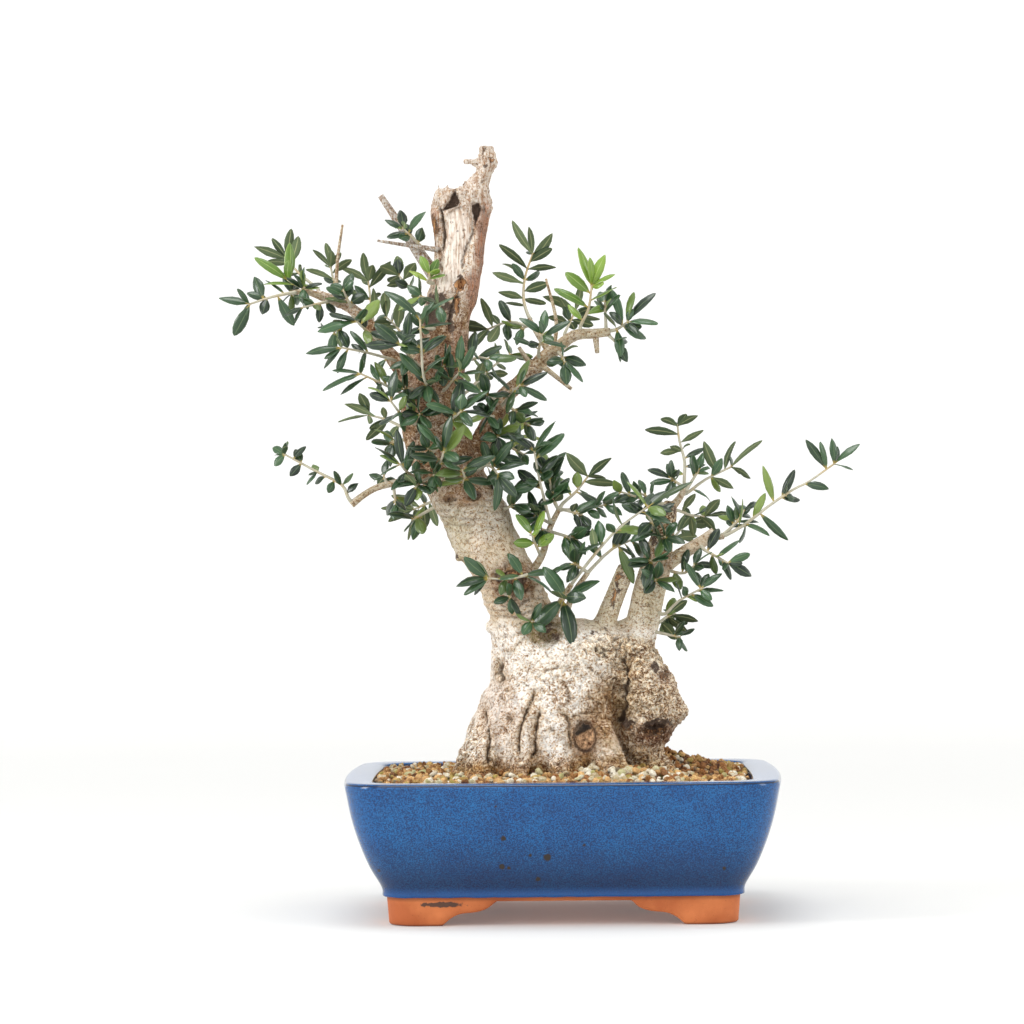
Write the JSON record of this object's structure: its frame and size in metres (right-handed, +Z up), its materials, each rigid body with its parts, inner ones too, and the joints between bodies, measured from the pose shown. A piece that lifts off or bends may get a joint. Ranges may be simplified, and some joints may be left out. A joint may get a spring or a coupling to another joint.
{
  "type": "olive bonsai",
  "caption": "Wild olive bonsai with a broad stump, leaning trunk with a dead broken top and leafy shoots, in a blue glazed rectangular pot.",
  "frame": {"origin": "on the standing plane under the feet, below the middle of the whole tree's box", "axes": "+Z up, +X to the right seen from the front, +Y to the back"},
  "size_m": [0.389, 0.216, 0.4695],
  "materials": {
    "glaze": "gloss",
    "screen": "matte",
    "soil": "matte",
    "bark": "matte",
    "leaf": "satin",
    "young_leaf": "satin"
  },
  "bodies": {
    "root": {"pot": "glaze", "screen_left": "screen", "screen_right": "screen", "soil": "soil", "wood": "bark", "shoot_upper_left_tip": "leaf", "shoot_upper_left_young": "young_leaf", "shoot_upper_left_high": "leaf", "shoot_upper_left_inner": "leaf", "shoot_upper_left_under": "leaf", "shoot_crown_left_a": "leaf", "shoot_crown_left_b": "leaf", "shoot_crown_left_c": "leaf", "shoot_crown_left_d": "leaf", "shoot_crown_left_e": "leaf", "shoot_left_mid_a": "leaf", "shoot_left_mid_b": "leaf", "shoot_left_mid_c": "leaf", "shoot_left_low_a": "leaf", "shoot_left_low_b": "leaf", "shoot_left_branch": "leaf", "shoot_front_sprig": "leaf", "shoot_front_high": "leaf", "shoot_front_mid": "leaf", "shoot_front_low_a": "leaf", "shoot_front_low_b": "leaf", "shoot_front_low_c": "leaf", "shoot_middle_left": "leaf", "shoot_branch_front_a": "leaf", "shoot_branch_front_b": "young_leaf", "shoot_middle_fork": "leaf", "shoot_middle_end": "leaf", "shoot_middle_low": "young_leaf", "shoot_crotch_a": "leaf", "shoot_crotch_b": "leaf", "shoot_crotch_leaves": "leaf", "shoot_trunk_front": "leaf", "shoot_crown_right_high": "leaf", "shoot_crown_right_young": "young_leaf", "shoot_crown_right_end": "leaf", "shoot_crown_right_core": "leaf", "shoot_crown_right_left": "leaf", "shoot_crown_right_hanging": "leaf", "shoot_crown_gap_twig": "leaf", "shoot_crown_gap_low": "leaf", "shoot_jin_shoot": "leaf", "shoot_jin_foot": "young_leaf", "shoot_right_top": "leaf", "shoot_right_upper": "leaf", "shoot_right_long": "leaf", "shoot_right_middle": "leaf", "shoot_right_cluster": "leaf", "shoot_right_low_a": "leaf", "shoot_right_low_b": "leaf", "shoot_right_inner": "leaf", "shoot_stem_front": "leaf", "shoot_back_low": "leaf", "shoot_back_high": "leaf", "shoot_back_middle": "leaf", "shoot_back_right": "leaf"}
  },
  "joints": []
}
